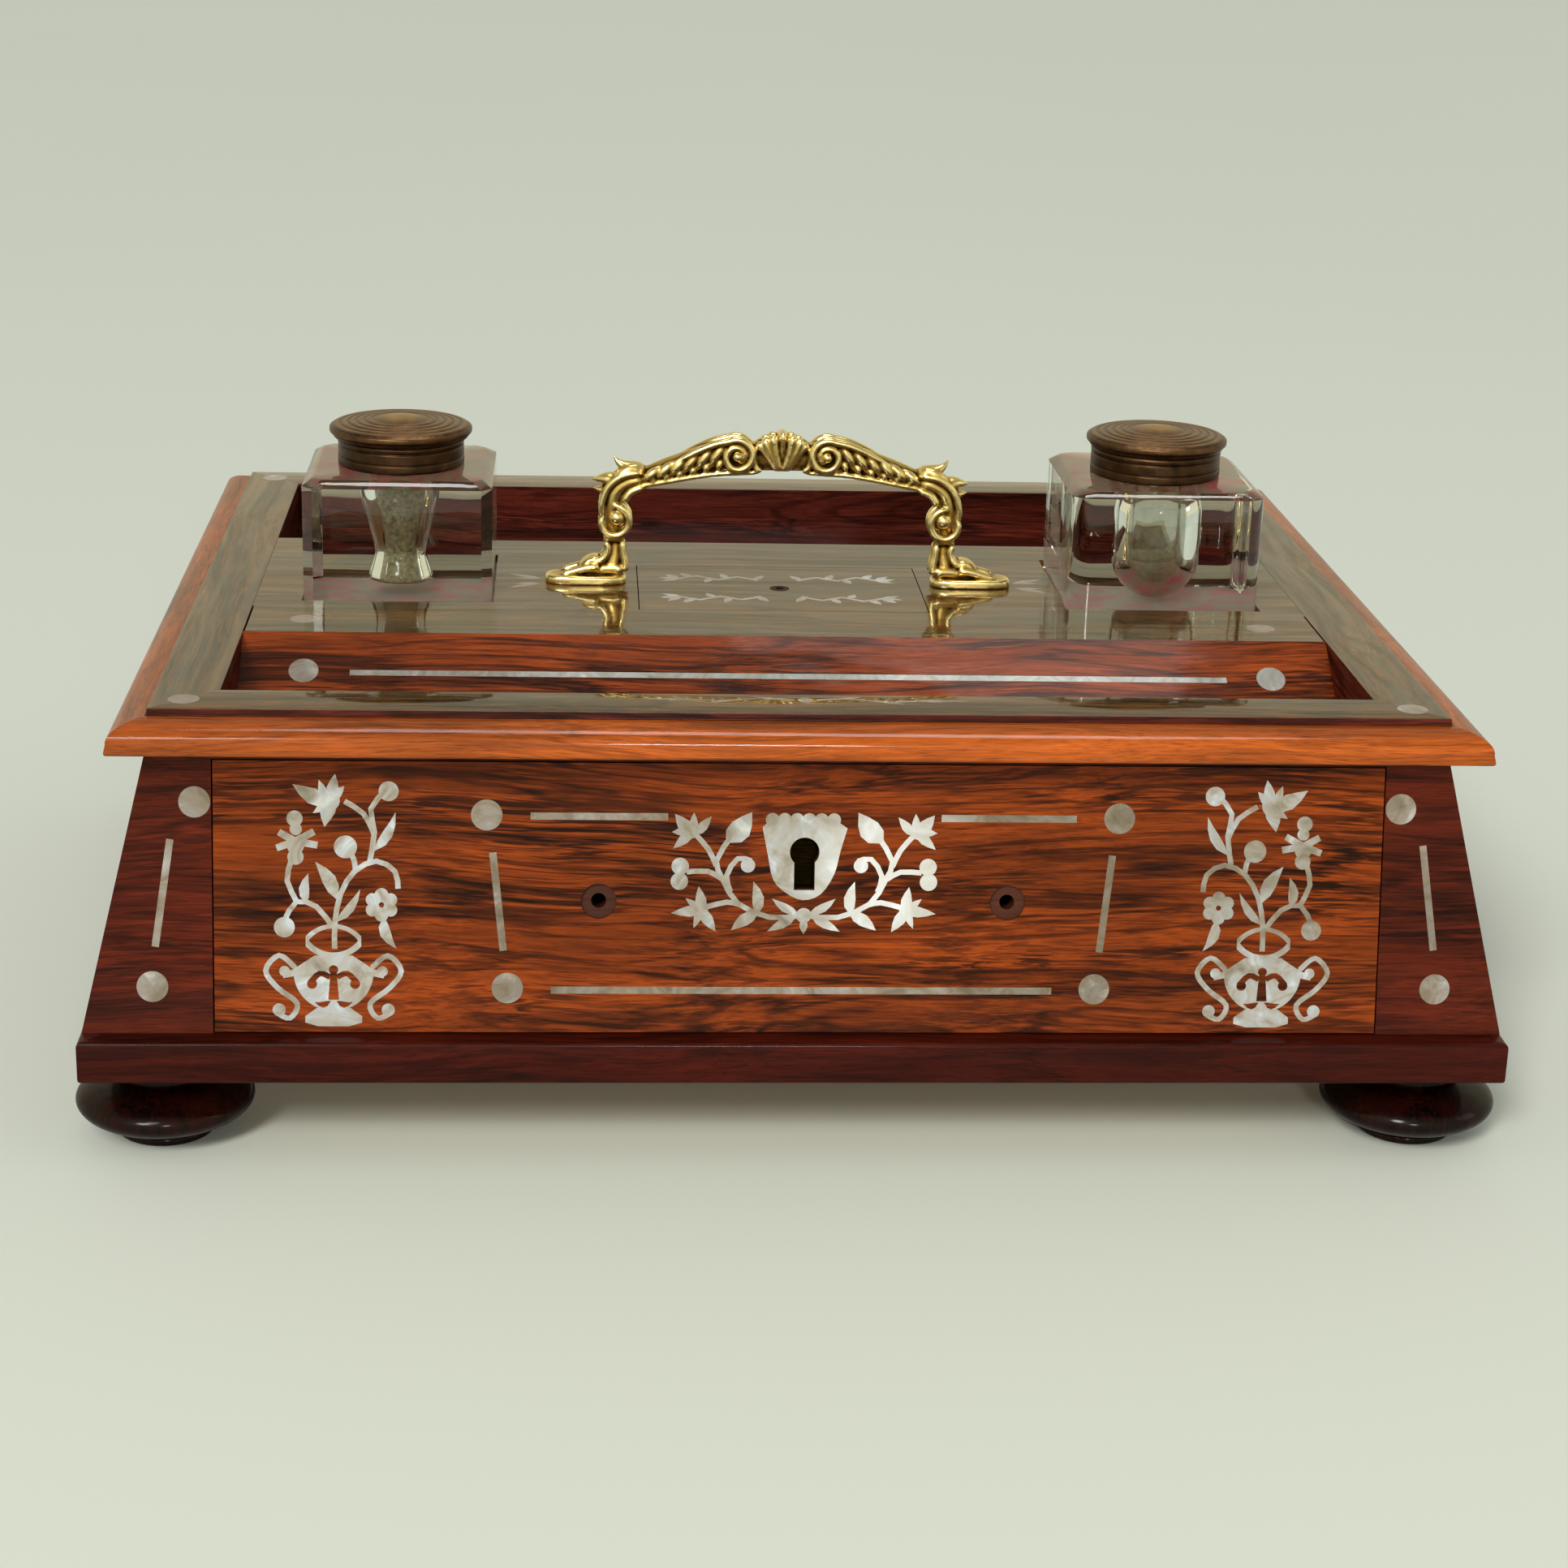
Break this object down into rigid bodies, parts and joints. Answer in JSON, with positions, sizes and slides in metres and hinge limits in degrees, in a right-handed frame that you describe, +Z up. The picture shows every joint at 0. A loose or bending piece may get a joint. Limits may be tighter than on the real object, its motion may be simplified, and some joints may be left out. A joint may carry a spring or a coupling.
{
  "type": "inlaid desk stand",
  "caption": "Rosewood desk stand on bun feet with a drawer, pen troughs, lidded compartment, brass carrying handle and lift-out glass inkwells, inlaid with pearl.",
  "frame": {"origin": "on the table, under the middle of the stand's overall box", "axes": "+X to the right of someone facing the drawer, +Y to the back, +Z up; the drawer opens towards -Y"},
  "size_m": [0.387, 0.306, 0.1702],
  "materials": {
    "rosewood": "French polished rosewood, orange brown with black streaks",
    "dark_rosewood": "French polished rosewood, darkened with age",
    "ebonised_wood": "turned and moulded hardwood, dark red brown polish",
    "mahogany": "planed, thinly waxed",
    "pine": "planed, unfinished",
    "pearl": "mother of pearl, polished flush",
    "lock_brass": "filed brass",
    "handle_brass": "cast and chased brass, dark in the hollows",
    "lid_bronze": "spun brass, brown with age",
    "glass": "cut and polished clear glass",
    "felt": "red wool felt"
  },
  "bodies": {
    "stand": {"foot_front_left": "ebonised_wood", "foot_front_right": "ebonised_wood", "foot_back_left": "ebonised_wood", "foot_back_right": "ebonised_wood", "plinth_front": "ebonised_wood", "plinth_back": "ebonised_wood", "plinth_left": "ebonised_wood", "plinth_right": "ebonised_wood", "bottom_board": "pine", "case_side_left": "dark_rosewood", "case_side_right": "dark_rosewood", "case_back": "dark_rosewood", "stile_left": "rosewood", "stile_right": "rosewood", "top_rail": "mahogany", "rail_blocks": "pine", "drawer_guide_left": "pine", "drawer_guide_right": "pine", "drawer_stops": "pine", "stile_inlay": "pearl", "frame_front": "rosewood", "frame_back": "rosewood", "frame_left": "rosewood", "frame_right": "rosewood", "top_inlay": "pearl", "tray_base": "pine", "tray_lining": "dark_rosewood", "deck": "rosewood", "deck_strip": "rosewood", "trough_board": "rosewood", "well_floor": "rosewood", "deck_bearer": "dark_rosewood", "compartment_box": "mahogany", "recess_felts": "felt", "handle": "handle_brass", "handle_screws": "lock_brass"},
    "drawer": {"drawer_front": "mahogany", "drawer_veneer": "rosewood", "drawer_side_left": "mahogany", "drawer_side_right": "mahogany", "drawer_back": "mahogany", "drawer_bottom": "pine", "lock_case": "lock_brass", "lock_screws": "lock_brass", "escutcheon": "pearl", "urn_spray_left": "pearl", "urn_spray_right": "pearl", "centre_spray": "pearl", "drawer_stringing": "pearl"},
    "bolt": {"lock_bolt": "lock_brass"},
    "small_lid": {"compartment_lid": "rosewood", "lid_scrollwork": "pearl"},
    "left_inkwell": {"inkwell_left": "glass", "collar_left": "lid_bronze", "lid_pin_left": "lock_brass"},
    "right_inkwell": {"inkwell_right": "glass", "collar_right": "lid_bronze", "lid_pin_right": "lock_brass"},
    "left_lid": {"inkwell_lid_left": "lid_bronze"},
    "right_lid": {"inkwell_lid_right": "lid_bronze"}
  },
  "joints": [
    {"name": "drawer_slide", "type": "slide", "parent": "stand", "child": "drawer", "axis": [0, -1, 0], "range_m": [0, 0.2]},
    {"name": "bolt_slide", "type": "slide", "parent": "drawer", "child": "bolt", "axis": [0, 0.1823, 0.9832], "range_m": [0, 0.0035]},
    {"name": "small_lid_lift", "type": "slide", "parent": "stand", "child": "small_lid", "axis": [0, 0, 1], "range_m": [0, 0.022]},
    {"name": "left_inkwell_lift", "type": "slide", "parent": "stand", "child": "left_inkwell", "axis": [0, 0, 1], "range_m": [0, 0.06]},
    {"name": "right_inkwell_lift", "type": "slide", "parent": "stand", "child": "right_inkwell", "axis": [0, 0, 1], "range_m": [0, 0.06]},
    {"name": "left_lid_hinge", "type": "hinge", "parent": "left_inkwell", "child": "left_lid", "pos_m": [-0.112, 0.0211, 0.1641], "axis": [-1, 0, 0], "range_deg": [0, 100]},
    {"name": "right_lid_hinge", "type": "hinge", "parent": "right_inkwell", "child": "right_lid", "pos_m": [0.112, 0.0211, 0.1641], "axis": [-1, 0, 0], "range_deg": [0, 100]}
  ]
}
